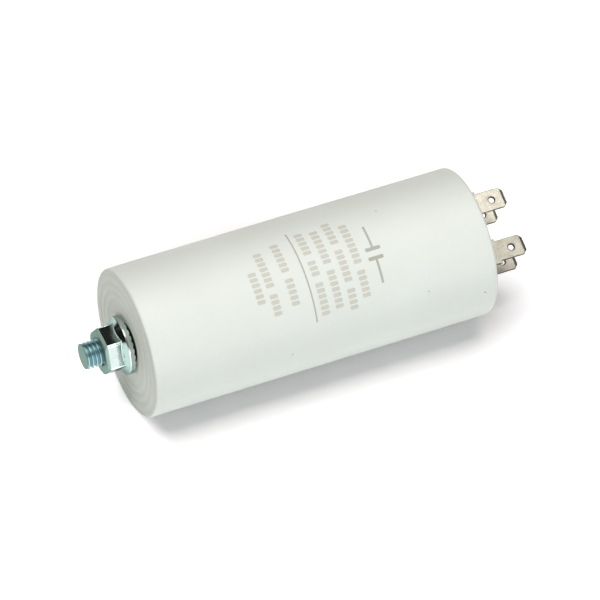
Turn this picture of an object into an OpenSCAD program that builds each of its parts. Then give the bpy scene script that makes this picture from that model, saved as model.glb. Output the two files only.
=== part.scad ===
// Motor run film capacitor: a round moulded case with a threaded stud in its base and two
// terminals of two blades each. The axis lies along +X: the seat of the base is at x = 0,
// the stud points to -X and the blades point to +X. Sizes are in millimetres.

/* [Case] */
// Outside diameter of the case
case_d = 45; // [40:0.5:60]
// Length of the case from the seat to the terminal end
case_l = 109; // [80:1:140]
// Thickness of the side wall
wall_t = 2; // [1.6:0.1:3]
// Thickness of the base
base_t = 2.6; // [2:0.1:4]
// Rounding of the edge at the base
base_round = 1; // [0.4:0.1:1.4]
// Rounding of the edge at the terminal end
end_round = 1.2; // [0.4:0.1:1.4]
// Plastic round the head of the stud
hub_wall = 2.5; // [1.5:0.1:3]
// Plastic over the head of the stud
hub_cover = 1.5; // [1:0.1:3]

/* [Seat rings] */
// Number of raised rings on the base
ring_count = 3; // [1:1:3]
// Distance from the case edge to the middle of the outer ring
ring_edge = 2.9; // [2.5:0.1:4]
// Spacing of the rings
ring_pitch = 2.8; // [2.4:0.1:3.2]
// Width of the flat crest of a ring
ring_crest = 0.6; // [0.3:0.1:0.9]
// Width of the sloping flank of a ring
ring_flank = 0.7; // [0.3:0.1:0.8]
// Height of a ring
ring_h = 0.2; // [0.1:0.05:0.4]

/* [Stud] */
// Diameter of the stud
stud_d = 8; // [6:0.5:10]
// Length of the stud outside the seat
stud_l = 13.4; // [11:0.1:25]
// Chamfer of the tip of the stud
stud_chamfer = 0.2; // [0.1:0.1:1]
// Width across the flats of the head
head_af = 13; // [12:0.5:16]
// Thickness of the head
head_t = 5.3; // [4:0.1:7]

/* [Nut] */
// Width across the flats of the nut
nut_af = 13; // [12:0.5:15]
// Height of the nut
nut_h = 8; // [6:0.1:10]
// Distance from the seat to the teeth of the nut, where a panel goes
nut_standoff = 0.4; // [0.1:0.1:2]
// Turn of the corners of the nut about the axis
nut_turn = 40; // [0:1:60]
// Diameter of the flange
flange_d = 17.5; // [17:0.1:20]
// Thickness of the rim of the flange
rim_t = 1.6; // [1:0.1:2]
// Slope of the top of the flange, in degrees
flange_slope = 33; // [20:1:35]
// Slope of the chamfer of the hexagon, in degrees
hex_chamfer_slope = 30; // [20:1:40]
// Height of the bevel at the outer end of each flat
hex_bevel_h = 0.9; // [0.4:0.1:1.2]
// Depth of that bevel at the outer face of the nut
hex_bevel_t = 0.3; // [0.2:0.05:0.5]
// Number of teeth under the flange
tooth_count = 28; // [16:1:32]
// Width of the notch between two teeth
notch_w = 1.1; // [0.6:0.1:1.2]
// Depth of the notch between two teeth
notch_h = 0.35; // [0.1:0.05:0.6]

/* [Terminals] */
// Width of a blade
blade_w = 6.35; // [4.8:0.05:7]
// Thickness of the strip
strip_t = 0.8; // [0.5:0.1:1]
// Length of a blade from its shoulders to its tip
blade_l = 8.5; // [7:0.1:10]
// Width of the strip below the shoulders
strip_w = 7.85; // [7.4:0.05:9]
// Distance between the two blades of a terminal, middle to middle
blade_spacing = 11.9; // [10:0.1:14]
// Distance between the two terminals, middle to middle
terminal_spacing = 15.6; // [13:0.1:18]
// Height of the blade tips over the terminal end of the case
blade_rise = 14.2; // [12:0.1:18]
// Inside radius of the bends
bend_r = 0.8; // [0.4:0.1:1.5]
// Diameter of the hole in a blade
hole_d = 1.7; // [1.2:0.1:2.2]
// Width of the countersink on each side of that hole
hole_sink = 0.25; // [0.1:0.05:0.3]
// Distance from the tip of a blade to the middle of its hole
hole_from_tip = 4.3; // [3.2:0.1:5]
// Chamfer of the corners of a tip
tip_chamfer = 1.2; // [0.5:0.1:1.8]
// Length of the bevel on each face of a tip
tip_bevel_l = 0.9; // [0.4:0.1:1.4]
// Depth of the bevel on each face of a tip
tip_bevel_t = 0.2; // [0.1:0.05:0.2]
// Turn of the terminals about the axis
terminal_turn = 28; // [0:1:90]

/* [Lid and rivets] */
// Thickness of the lid
lid_t = 3; // [2:0.1:4]
// Depth of the lid below the terminal end of the case
lid_recess = 1.2; // [0.5:0.1:2.5]
// Width of the ledge that carries the lid
lid_ledge = 0.5; // [0.3:0.1:0.8]
// Chamfer of the outer edge of the lid
lid_chamfer = 0.4; // [0.2:0.1:0.8]
// Diameter of a rivet
rivet_d = 3.2; // [2.4:0.1:4]
// Diameter of the head and of the tail of a rivet
rivet_head_d = 5.6; // [4.6:0.1:7]
// Height of the head and of the tail of a rivet
rivet_head_h = 0.9; // [0.5:0.1:1.4]

/* [Inside] */
// Outside diameter of the tube that the film is wound on
core_d = 8; // [7:0.5:12]
// Bore of that tube
core_bore_d = 6; // [4:0.5:6]
// Resin between the winding and the case
resin_gap = 1.2; // [0.6:0.1:3]
// Resin over the winding
resin_cover = 4; // [3:0.5:6]
// Distance from the winding to the lid
head_room = 9.6; // [8:0.1:14]
// Thickness of the sprayed contact layer on each end of the winding
contact_t = 0.8; // [0.4:0.1:1.2]
// Diameter of the leads
lead_d = 1.6; // [1:0.1:2]
// Diameter of the round foot of the lower lead
foot_d = 12; // [8:0.5:15]
// Thickness of that foot
foot_t = 1; // [0.6:0.1:2]

/* [Fits] */
// Radial gap between the stud and the nut
thread_gap = 0.05; // [0.02:0.01:0.1]
// Radial gap between the lid and the case
lid_gap = 0.1; // [0.05:0.05:0.2]

/* [Hidden] */
$fn = 96;
cut = 1;

case_r = case_d / 2;
inner_r = case_r - wall_t;
mouth_r = inner_r + lid_ledge;
mouth_round = min(end_round, 0.8 * (wall_t - lid_ledge));
floor_h = ring_h + base_t;
stud_r = stud_d / 2;
head_r = head_af / 2 / cos(30);
hub_r = head_r + hub_wall;
hub_h = floor_h + head_t + hub_cover;

flange_r = flange_d / 2;
hex_r = nut_af / 2 / cos(30);
hex_face_r = nut_af / 2;
hex_chamfer_h = (hex_r - hex_face_r) * tan(hex_chamfer_slope);
flange_top_r = 0.45 * nut_af;
flange_cone_h = (flange_r - flange_top_r) * tan(flange_slope);
nut_bore_r = stud_r + thread_gap;
countersink_r = nut_bore_r + notch_h;
notch_inner_r = hex_r - notch_w;

lid_top = case_l - lid_recess;
lid_bottom = lid_top - lid_t;
lid_r = mouth_r - lid_gap;
tip_h = case_l + blade_rise - lid_top;
shoulder_h = tip_h - blade_l;
bend_outer = bend_r + strip_t;
hole_r = hole_d / 2;
hole_sink_h = min(hole_sink, strip_t / 3);
strip_half = (blade_spacing + strip_t) / 2;
rivet_r = rivet_d / 2;
rivet_head_r = rivet_head_d / 2;
rivet_taper = rivet_head_h / 2;
rivet_low = lid_bottom - rivet_head_h;

core_r = core_d / 2;
core_bore_r = core_bore_d / 2;
winding_r = inner_r - resin_gap;
foot_r = foot_d / 2;
contact_low = hub_h + foot_t;
winding_low = contact_low + contact_t;
winding_high = lid_bottom - head_room - contact_t;
contact_high = winding_high + contact_t;
resin_high = contact_high + resin_cover;
lead_r = lead_d / 2;
lead_cross = contact_high + resin_cover / 2;
lead_side = terminal_spacing / 2;

plastic = [0.93, 0.94, 0.92];
zinc = [0.70, 0.77, 0.78];
nickel = [0.80, 0.76, 0.68];

// Turns a shape that is built along +Z so that it lies along +X
module along_x() {
    rotate([0, 90, 0])
        children();
}

// Turns the terminals and what hangs from them about the axis
module at_terminals() {
    along_x()
        rotate([0, 0, terminal_turn])
            children();
}

// A ring with square edges from one height to another
module tube(outer_r, bore_r, low, high) {
    translate([0, 0, low])
        difference() {
            cylinder(r = outer_r, h = high - low);
            translate([0, 0, -cut])
                cylinder(r = bore_r, h = high - low + 2 * cut);
        }
}

// Half section of the outside of the case, rounded at both edges
module case_outline() {
    translate([0, ring_h + base_round])
        square([case_r, case_l - ring_h - base_round - mouth_round]);
    translate([0, ring_h])
        square([case_r - base_round, base_round]);
    translate([case_r - base_round, ring_h + base_round])
        circle(r = base_round);
    translate([0, case_l - mouth_round])
        square([case_r - mouth_round, mouth_round]);
    translate([case_r - mouth_round, case_l - mouth_round])
        circle(r = mouth_round);
}

// Half section of one seat ring, with its crest on the seat
module ring_section() {
    half = ring_crest / 2;
    polygon([
        [-half - ring_flank, ring_h],
        [-half, 0],
        [half, 0],
        [half + ring_flank, ring_h],
        [half + ring_flank, ring_h + base_t / 2],
        [-half - ring_flank, ring_h + base_t / 2]
    ]);
}

// Half section of the case with its seat rings, its hub and the step for the lid
module case_section() {
    difference() {
        union() {
            case_outline();
            for (i = [0 : ring_count - 1])
                translate([case_r - ring_edge - i * ring_pitch, 0])
                    ring_section();
        }
        translate([-cut, floor_h])
            square([inner_r + cut, case_l]);
        translate([-cut, lid_bottom])
            square([mouth_r + cut, case_l]);
    }
    translate([0, ring_h])
        square([hub_r, hub_h - ring_h]);
}

// Round shank with a chamfered tip and a hexagonal head
module stud_shape() {
    translate([0, 0, -stud_l])
        cylinder(r1 = stud_r - stud_chamfer, r2 = stud_r, h = stud_chamfer);
    translate([0, 0, stud_chamfer - stud_l])
        cylinder(r = stud_r, h = stud_l - stud_chamfer + floor_h + head_t / 2);
    translate([0, 0, floor_h])
        cylinder(r = head_r, h = head_t, $fn = 6);
}

// Hexagon with a bevel at the outer end of each flat and its corners turned off at a slope
module nut_hexagon() {
    intersection() {
        rotate([0, 0, nut_turn]) {
            cylinder(r = hex_r, h = nut_h - hex_bevel_h, $fn = 6);
            translate([0, 0, nut_h - hex_bevel_h])
                cylinder(r1 = hex_r, r2 = hex_r - hex_bevel_t / cos(30), h = hex_bevel_h, $fn = 6);
        }
        union() {
            cylinder(r = hex_r + cut, h = nut_h - hex_chamfer_h);
            translate([0, 0, nut_h - hex_chamfer_h])
                cylinder(r1 = hex_r, r2 = hex_face_r, h = hex_chamfer_h);
        }
    }
}

// Notches that leave ratchet teeth under the flange
module nut_notches() {
    for (i = [0 : tooth_count - 1])
        rotate([0, 0, i * 360 / tooth_count])
            translate([notch_inner_r, 0, 0])
                rotate([90, 0, 90])
                    linear_extrude(height = flange_r)
                        polygon([
                            [-notch_w / 2, -cut],
                            [notch_w / 2, -cut],
                            [notch_w / 2, notch_h],
                            [-notch_w / 2, 0]
                        ]);
}

// Flange nut that stands on its teeth
module nut_shape() {
    difference() {
        union() {
            nut_hexagon();
            cylinder(r = flange_r, h = rim_t);
            translate([0, 0, rim_t])
                cylinder(r1 = flange_r, r2 = flange_top_r, h = flange_cone_h);
        }
        translate([0, 0, -cut])
            cylinder(r = nut_bore_r, h = nut_h + 2 * cut);
        cylinder(r1 = countersink_r, r2 = nut_bore_r, h = notch_h);
        translate([0, 0, nut_h - notch_h])
            cylinder(r1 = nut_bore_r, r2 = countersink_r, h = notch_h);
        nut_notches();
    }
}

// Side view of one blade with bevels at its tip, from the bend upwards
module blade_section() {
    half = strip_t / 2;
    polygon([
        [-half, bend_outer],
        [half, bend_outer],
        [half, tip_h - tip_bevel_l],
        [half - tip_bevel_t, tip_h],
        [tip_bevel_t - half, tip_h],
        [-half, tip_h - tip_bevel_l]
    ]);
}

// Side view of the strip, bent up at both ends
module strip_section() {
    translate([bend_outer - strip_half, 0])
        square([2 * (strip_half - bend_outer), strip_t]);
    for (side = [-1, 1]) {
        translate([side * blade_spacing / 2, 0])
            blade_section();
        translate([side * (strip_half - bend_outer), bend_outer])
            intersection() {
                difference() {
                    circle(r = bend_outer);
                    circle(r = bend_r);
                }
                translate([(side - 1) / 2 * bend_outer, -bend_outer])
                    square(bend_outer);
            }
    }
}

// Front view of a blade, with its shoulders and chamfered tip
module blade_outline() {
    strip_side = strip_w / 2;
    blade_side = blade_w / 2;
    polygon([
        [-strip_side, -cut],
        [strip_side, -cut],
        [strip_side, shoulder_h],
        [blade_side, shoulder_h],
        [blade_side, tip_h - tip_chamfer],
        [blade_side - tip_chamfer, tip_h],
        [tip_chamfer - blade_side, tip_h],
        [-blade_side, tip_h - tip_chamfer],
        [-blade_side, shoulder_h],
        [-strip_side, shoulder_h]
    ]);
}

// Round hole through one blade, with a countersink on each side
module hole_shape() {
    half = strip_t / 2;
    wide = hole_r + hole_sink_h + cut;
    rotate_extrude()
        polygon([
            [0, -half - cut],
            [wide, -half - cut],
            [hole_r, hole_sink_h - half],
            [hole_r, half - hole_sink_h],
            [wide, half + cut],
            [0, half + cut]
        ]);
}

// Terminal of two blades folded from one strip, standing on the lid
module terminal_shape() {
    difference() {
        intersection() {
            rotate([90, 0, 0])
                linear_extrude(height = strip_w, center = true)
                    strip_section();
            rotate([90, 0, 90])
                linear_extrude(height = 2 * strip_half + cut, center = true)
                    blade_outline();
        }
        for (side = [-1, 1])
            translate([side * blade_spacing / 2, 0, tip_h - hole_from_tip])
                rotate([0, 90, 0])
                    hole_shape();
        translate([0, 0, -cut])
            cylinder(r = rivet_r, h = strip_t + 2 * cut);
    }
}

// Rivet with a tapered head on the strip and a tapered tail under the lid
module rivet_shape() {
    head_low = lid_top + strip_t;
    translate([0, 0, rivet_low])
        cylinder(r = rivet_r, h = head_low + rivet_head_h - rivet_low);
    translate([0, 0, head_low])
        cylinder(r = rivet_head_r, h = rivet_head_h - rivet_taper);
    translate([0, 0, head_low + rivet_head_h - rivet_taper])
        cylinder(r1 = rivet_head_r, r2 = rivet_r, h = rivet_taper);
    translate([0, 0, rivet_low + rivet_taper])
        cylinder(r = rivet_head_r, h = rivet_head_h - rivet_taper);
    translate([0, 0, rivet_low])
        cylinder(r1 = rivet_r, r2 = rivet_head_r, h = rivet_taper);
}

// Wire from the foot up through the core and across to its rivet
module lead_wire() {
    wire_low = hub_h + foot_t / 2;
    translate([0, 0, wire_low])
        cylinder(r = lead_r, h = lead_cross - wire_low);
    translate([0, 0, lead_cross])
        sphere(r = lead_r);
    translate([0, 0, lead_cross])
        rotate([90, 0, 0])
            cylinder(r = lead_r, h = lead_side);
    translate([0, -lead_side, lead_cross])
        sphere(r = lead_r);
    translate([0, -lead_side, lead_cross])
        cylinder(r = lead_r, h = rivet_low - lead_cross);
}

// Straight wire from a height to the other rivet
module straight_wire(low) {
    translate([0, lead_side, low])
        cylinder(r = lead_r, h = rivet_low - low);
}

// Half section of the resin, with room for the hub, the foot of the lead and the winding
module resin_section() {
    polygon([
        [0, contact_low],
        [core_bore_r, contact_low],
        [core_bore_r, contact_high],
        [winding_r, contact_high],
        [winding_r, contact_low],
        [foot_r, contact_low],
        [foot_r, hub_h],
        [hub_r, hub_h],
        [hub_r, floor_h],
        [inner_r, floor_h],
        [inner_r, resin_high],
        [0, resin_high]
    ]);
}

module case() {
    color(plastic)
        along_x()
            difference() {
                rotate_extrude()
                    case_section();
                stud_shape();
            }
}

module lid() {
    color(plastic)
        at_terminals()
            difference() {
                union() {
                    translate([0, 0, lid_bottom])
                        cylinder(r = lid_r, h = lid_t - lid_chamfer);
                    translate([0, 0, lid_top - lid_chamfer])
                        cylinder(r1 = lid_r, r2 = lid_r - lid_chamfer, h = lid_chamfer);
                }
                for (side = [-1, 1])
                    translate([0, side * lead_side, lid_bottom - cut])
                        cylinder(r = rivet_r, h = lid_t + 2 * cut);
            }
}

module mounting_stud() {
    color(zinc)
        along_x()
            stud_shape();
}

module flange_nut() {
    color(zinc)
        along_x()
            translate([0, 0, -nut_standoff])
                mirror([0, 0, 1])
                    nut_shape();
}

module terminal(side) {
    color(nickel)
        at_terminals()
            translate([0, side * terminal_spacing / 2, lid_top])
                terminal_shape();
}

module terminal_a() {
    terminal(1);
}

module terminal_b() {
    terminal(-1);
}

module rivet(side) {
    color(nickel)
        at_terminals()
            translate([0, side * terminal_spacing / 2, 0])
                rivet_shape();
}

module rivet_a() {
    rivet(1);
}

module rivet_b() {
    rivet(-1);
}

module film_winding() {
    color("lightgray")
        along_x()
            tube(winding_r, core_r, winding_low, winding_high);
}

module winding_core() {
    color("whitesmoke")
        along_x()
            tube(core_r, core_bore_r, winding_low, winding_high);
}

module contact_layer_base() {
    color("darkgray")
        along_x()
            tube(winding_r, core_bore_r, contact_low, winding_low);
}

module contact_layer_top() {
    color("darkgray")
        along_x()
            tube(winding_r, core_bore_r, winding_high, contact_high);
}

module lead_base() {
    color("peru")
        at_terminals() {
            translate([0, 0, hub_h])
                cylinder(r = foot_r, h = foot_t);
            lead_wire();
        }
}

module lead_top() {
    color("peru")
        at_terminals()
            straight_wire(contact_high);
}

module potting_resin() {
    color("burlywood")
        at_terminals()
            difference() {
                rotate_extrude()
                    resin_section();
                lead_wire();
                straight_wire(contact_high - cut);
            }
}

case();
lid();
mounting_stud();
flange_nut();
terminal_a();
terminal_b();
rivet_a();
rivet_b();
film_winding();
winding_core();
contact_layer_base();
contact_layer_top();
lead_base();
lead_top();
potting_resin();
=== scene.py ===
"""Looks of a stud-mounted film capacitor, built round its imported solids."""

from math import atan2, ceil, cos, hypot, pi, radians, sin, sqrt, tan

import bmesh
import bpy
from bmesh.types import BMEdge, BMFace, BMVert
from bpy.props import FloatProperty, FloatVectorProperty, IntProperty, PointerProperty
from bpy.types import NodeSocket, Operator, Panel, PropertyGroup
from mathutils import Matrix, Vector


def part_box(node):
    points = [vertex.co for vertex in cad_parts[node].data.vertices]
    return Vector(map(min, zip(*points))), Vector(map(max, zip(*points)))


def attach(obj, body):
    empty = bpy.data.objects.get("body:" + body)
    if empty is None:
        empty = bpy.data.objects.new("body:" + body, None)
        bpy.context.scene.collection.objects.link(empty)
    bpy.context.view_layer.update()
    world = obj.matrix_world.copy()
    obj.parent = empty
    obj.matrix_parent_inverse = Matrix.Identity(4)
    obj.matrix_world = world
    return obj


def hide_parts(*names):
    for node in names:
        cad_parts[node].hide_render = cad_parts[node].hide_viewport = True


bl_info = {
    "name": "Film Capacitor",
    "version": (1, 0, 0),
    "blender": (4, 5, 0),
    "location": "View3D > Sidebar > Capacitor",
    "description": "Dresses the packed solids of a film capacitor and sets its stage",
    "category": "Object",
}

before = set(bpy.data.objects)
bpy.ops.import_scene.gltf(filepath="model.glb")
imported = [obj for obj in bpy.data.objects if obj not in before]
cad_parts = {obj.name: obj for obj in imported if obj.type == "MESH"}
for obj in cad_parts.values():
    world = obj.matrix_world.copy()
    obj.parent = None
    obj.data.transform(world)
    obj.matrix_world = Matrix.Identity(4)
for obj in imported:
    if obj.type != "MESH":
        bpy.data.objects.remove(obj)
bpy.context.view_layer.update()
case_low, case_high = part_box("case")
lid_low, lid_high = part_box("lid")
stud_low, stud_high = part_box("mounting_stud")
nut_low, nut_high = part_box("flange_nut")
blade_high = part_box("terminal_a")[1].x

# Steps of a wide and of a narrow rounding
WIDE, NARROW = 8, 3
# Distances within which vertices of a skin and of the wound thread are merged
SKIN_MERGE, THREAD_MERGE = 1e-7, 2e-6
# The turn that lays what stands along +Z down along +X
LYING = Matrix.Rotation(radians(90), 4, "Y")
# Facets round a blade hole and round a rivet
HOLE_FACETS, RIVET_FACETS = 32, 48


# Properties


def mm(name, description, size):
    """A size in the scene's length unit, given in millimetres."""
    return FloatProperty(
        name=name, description=description, default=size / 1000, unit="LENGTH", precision=5
    )


def turn(name, description, degrees):
    """An angle, given in degrees."""
    angle = radians(degrees)
    return FloatProperty(name=name, description=description, default=angle, subtype="ANGLE")


def count(name, description, default, least):
    """A whole number with a lower limit."""
    return IntProperty(name=name, description=description, default=default, min=least)


def level(name, description, default, unit="NONE"):
    """A plain value, or one in the scene's unit of a kind."""
    return FloatProperty(name=name, description=description, default=default, unit=unit)


def rgb(name, description, *parts):
    """A colour in the scene's linear space."""
    return FloatVectorProperty(
        name=name, description=description, default=parts, min=0, max=1, subtype="COLOR"
    )


class CapacitorCaseSizes(PropertyGroup):
    radius: mm("Radius", "Outside radius, just under the ink", case_high.z * 1000 - 0.01)
    field: mm("Field", "Depth of the base between the seat rings", 0.2)
    rings: count("Rings", "Seat rings on the base", 3, 1)
    ring_first: mm("First ring", "Middle radius of the innermost ring", 14.0)
    ring_pitch: mm("Ring pitch", "Spacing of the seat rings", 2.8)
    ring_crest: mm("Ring crest", "Width of a ring's crest", 0.6)
    ring_flank: mm("Ring flank", "Width of a ring's flanks", 0.7)
    base_round: mm("Base rounding", "Rounding at the base", 1.0)
    mouth_round: mm("Mouth rounding", "Rounding at the terminal end", 1.2)
    mouth: mm("Mouth", "Radius of the mouth round the lid", 21.0)
    bore: mm("Bore", "Inside radius of the case", 20.5)
    floor: mm("Floor", "Height of the inside of the base", 2.8)
    hub: mm("Hub", "Radius of the plastic round the stud's head", 10.0056)
    hub_top: mm("Hub top", "Height of that plastic", 9.6)
    facets: count("Facets", "Facets round the case", 192, 24)


class CapacitorStudSizes(PropertyGroup):
    radius: mm("Radius", "Outside radius of the thread", 4.0)
    pitch: mm("Pitch", "Pitch of the thread", 1.25)
    depth: mm("Depth", "Depth of the thread", 0.72)
    crest: mm("Crest", "Width of its crest", 0.2)
    root: mm("Root", "Width of its root", 0.22)
    corner: mm("Corner", "Rounding of the crest and the root", 0.08)
    tip_radius: mm("Tip radius", "Radius of the stud's flat end", 3.85)
    tip_fade: mm("Fade", "Length in which the thread runs out", 0.4)
    head_flats: mm("Head", "Width across the flats of the head", 13.0)
    facets: count("Facets", "Facets round the thread", 60, 12)


class CapacitorNutSizes(PropertyGroup):
    flats: mm("Flats", "Width across the flats", 13.0)
    corner_turn: turn("Corner", "Where a corner stands round the axis", 130)
    corner_round: mm("Corner rounding", "Rounding of the hexagon's corners", 0.35)
    chamfer_slope: turn("Chamfer", "Slope at which the corners are turned off", 30)
    bevel_height: mm("Bevel height", "Height of the bevel that ends each flat", 0.9)
    bevel_depth: mm("Bevel depth", "Depth of the bevel at the outer face", 0.3)
    flange: mm("Flange", "Radius of the flange", 8.75)
    rim: mm("Rim", "Thickness of the flange's rim", 1.6)
    flange_slope: turn("Flange slope", "Slope of the top of the flange", 33)
    fillet: mm("Fillet", "Fillet at the foot of the hexagon", 0.32)
    edge: mm("Edge", "Rounding of the edge of the rim", 0.22)
    bore: mm("Bore", "Radius of the bore", 4.05)
    sink: mm("Countersink", "Width and depth of its countersinks", 0.35)
    tooth_ring: mm("Tooth ring", "Inside radius of the ring of teeth", 6.406)
    notch: mm("Notch", "Width of the notch between two teeth", 1.1)
    notch_depth: mm("Notch depth", "Depth of that notch", 0.35)
    teeth: count("Teeth", "Teeth under the flange", 28, 6)
    steps: count("Steps", "Steps round each tooth", 12, 4)
    grey_reach: mm("Grey reach", "How far the flange's grey goes up", 1.3)
    grey_border: mm("Grey border", "Unevenness of that grey's border", 0.6)


class CapacitorTerminalSizes(PropertyGroup):
    thickness: mm("Thickness", "Thickness of the strip", 0.8)
    strip: mm("Strip", "Width of the strip below the shoulders", 7.85)
    blade: mm("Blade", "Width of a blade", 6.35)
    blade_length: mm("Blade length", "Length of a blade past its shoulders", 8.5)
    spacing: mm("Spacing", "Middle distance of the two blades", 11.9)
    offset: mm("Offset", "Distance of a terminal from the axis", 7.8)
    bend: mm("Bend", "Inside radius of the bends", 0.8)
    hole: mm("Hole", "Radius of the hole in a blade", 0.85)
    hole_from_tip: mm("Hole from tip", "Distance of the hole from the tip", 4.3)
    hole_sink: mm("Countersink", "Width of its countersinks", 0.25)
    # The dark ring round the hole is painted shade
    hole_ring: mm("Hole ring", "Width of the dark ring round it", 0.12)
    corner: mm("Corner", "Chamfer of the corners of a tip", 1.2)
    bevel_length: mm("Bevel length", "Length of the bevels of a tip", 0.9)
    bevel_depth: mm("Bevel depth", "Depth of the bevels of a tip", 0.2)
    rivet: mm("Rivet", "Radius of a rivet", 1.6)
    rivet_head: mm("Rivet head", "Radius of a rivet's head", 2.8)
    rivet_height: mm("Rivet height", "Height of a rivet's head", 0.9)
    edge: mm("Edge", "Rounding of the edges of the strip", 0.15)
    bend_steps: count("Bend steps", "Steps round each bend", 12, 3)
    turned: turn("Turn", "Turn of the terminals round the axis", 28)


class CapacitorPrintSizes(PropertyGroup):
    middle: turn("Middle", "Where the print stands round the axis", 124)
    ink: mm("Ink", "Radius of the outside of the ink", 22.498)
    top: mm("Top", "Distance of its upper edge from the seat", 75.6)
    width: mm("Width", "Width of the print round the case", 29.6)
    sign: mm("Sign", "Height of the two-plate sign", 4.7)
    plate: mm("Plate", "Thickness of the sign's plates", 1.1)
    rule: mm("Rule", "Thickness of the rule", 0.45)
    rule_drop: mm("Rule drop", "Distance of the rule from the top", 24.4)
    line: mm("Line", "Height of a line of blocks", 2.5)
    block: mm("Block", "Width of a block", 1.25)
    pitch: mm("Pitch", "Spacing of the blocks", 1.7)
    slice: mm("Slice", "Width of the slices of a wrapped bar", 0.6)
    corner: mm("Corner", "Largest rounding of a bar", 0.4)


class CapacitorColours(PropertyGroup):
    plastic: rgb("Plastic", "White plastic of the case and lid", 0.845, 0.885, 0.84)
    plastic_shade: rgb("Plastic shade", "Darker cast in the plastic", 0.81, 0.845, 0.795)
    # Painted shade: the base face is painted darker than the side, darkest in the field between its
    # rings
    plastic_base: rgb("Plastic base", "Duller plastic of the base", 0.725, 0.765, 0.695)
    speck: rgb("Speck", "Specks of dirt", 0.22, 0.21, 0.18)
    # Painted shade: near-black put on the plastic in the gap under the nut, where shade falls
    grime: rgb("Grime", "Dark plastic in the gap under the nut", 0.012, 0.022, 0.022)
    ink: rgb("Ink", "Grey ink of the sign and the rule", 0.44, 0.42, 0.36)
    ink_faint: rgb("Faint ink", "Thin ink of the lines of blocks", 0.63, 0.615, 0.54)
    zinc: rgb("Zinc", "Zinc plate of the nut", 0.56, 0.69, 0.68)
    zinc_pale: rgb("Pale zinc", "Paler areas of the zinc", 0.68, 0.77, 0.75)
    zinc_flange: rgb("Flange zinc", "Zinc plate of the flange", 0.33, 0.45, 0.42)
    zinc_edge: rgb("Edge zinc", "Tint of the zinc seen edge on", 0.4, 0.46, 0.44)
    zinc_blue: rgb("Blue zinc", "Blue zinc plate of the thread", 0.25, 0.49, 0.55)
    zinc_deep: rgb("Deep zinc", "Darker areas of the thread", 0.17, 0.345, 0.385)
    zinc_dull: rgb("Dull zinc", "Dull ends of the stud and nut", 0.23, 0.325, 0.285)
    # Painted highlight: pale zinc on the nut's rounded edges, mostly on their upper side, and on
    # the thread's crests along with their wear
    zinc_worn: rgb("Worn zinc", "Worn edges of the zinc", 0.80, 0.81, 0.77)
    tin: rgb("Tin", "Tinned strip of the terminals", 0.57, 0.55, 0.475)
    tin_dark: rgb("Dark tin", "Darker grains of the strip", 0.34, 0.325, 0.27)
    # Painted shade: this near-black stands for cut metal and also for shade on the strip's sides,
    # edges, holes and tip bevels
    tin_cut: rgb("Cut tin", "Cut edges of the strip", 0.06, 0.052, 0.037)
    film: rgb("Film", "Metallised film", 0.70, 0.72, 0.74)
    spray: rgb("Spray", "Sprayed contact layers", 0.60, 0.61, 0.62)
    copper: rgb("Copper", "Bare copper of the leads", 0.72, 0.45, 0.30)
    resin: rgb("Resin", "Cast resin", 0.62, 0.52, 0.36)
    floor: rgb("Floor", "Pale floor", 0.86, 0.86, 0.86)
    floor_seen: rgb("Seen floor", "Colour of the floor where it is seen", 1.0, 0.975, 1.0)


class CapacitorStage(PropertyGroup):
    azimuth: turn("Azimuth", "Direction of the camera round the object", -24.16)
    elevation: turn("Elevation", "Height of the camera over the horizon", 42.47)
    distance: level("Distance", "Distance of the camera", 1.744, "LENGTH")
    lens: level("Lens", "Focal length in millimetres", 358.4)
    middle: mm("Middle", "Place on the axis it goes round", 54.6)
    aim_right: mm("Aim right", "How far it aims to the right", 0.64)
    aim_down: mm("Aim down", "How far it aims down", 2.45)
    softbox: level("Softbox", "Power of the lamp overhead", 14.7, "POWER")
    softbox_tint: rgb("Softbox tint", "Colour of the lamps overhead and behind", 1.0, 0.98, 0.95)
    fill: level("Fill", "Power of the lamp in front", 12.7, "POWER")
    fill_tint: rgb("Fill tint", "Colour of the lamp in front", 0.935, 0.975, 1.0)
    rim: level("Rim", "Power of the lamp behind", 1.4, "POWER")
    room: level("Room", "Strength of the light of the room", 0.02)
    floor_lift: level("Floor lift", "White that the floor adds where it is seen", 0.1)
    far_lift: level("Far lift", "White that it adds further away", 0.4)
    # Painted light on the floor past the base, which lightens the shadow there
    end_lift: level("End lift", "White that it adds past the base", 0.45)


# Modelling helpers


def only(kind, geom):
    """The items of one kind among mixed geometry."""
    return [item for item in geom if isinstance(item, kind)]


def draw_line(bm, points, closed=False):
    """Joins points in the plane or in space, and gives the vertices and the edges."""
    verts = [bm.verts.new(Vector(point).to_3d()) for point in points]
    following = verts[1:] + verts[:1] if closed else verts[1:]
    return verts, [bm.edges.new(pair) for pair in zip(verts, following)]


def draw_circle(bm, radius, facets, place):
    """Draws a circle, and gives the vertices and the edges."""
    verts = bmesh.ops.create_circle(bm, segments=facets, radius=radius, matrix=place)["verts"]
    return verts, list({e for v in verts for e in v.link_edges})


def soften(bm, geom, width, segments, affect="VERTICES"):
    """Rounds the corners of a line, or edges."""
    return bmesh.ops.bevel(
        bm, geom=geom, offset=width, offset_type="OFFSET", segments=segments, profile=0.5,
        affect=affect, clamp_overlap=True, material=-1,
    )


def spin_line(bm, facets, turns=1, pitch=0.0, merge=False):
    """Spins the drawn line round the long axis, and along it by a pitch."""
    bmesh.ops.spin(
        bm, geom=bm.verts[:] + bm.edges[:], cent=(0, 0, 0), axis=(1, 0, 0),
        dvec=(pitch / facets, 0, 0), angle=2 * pi * turns, steps=facets * turns, use_merge=merge,
    )


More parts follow.
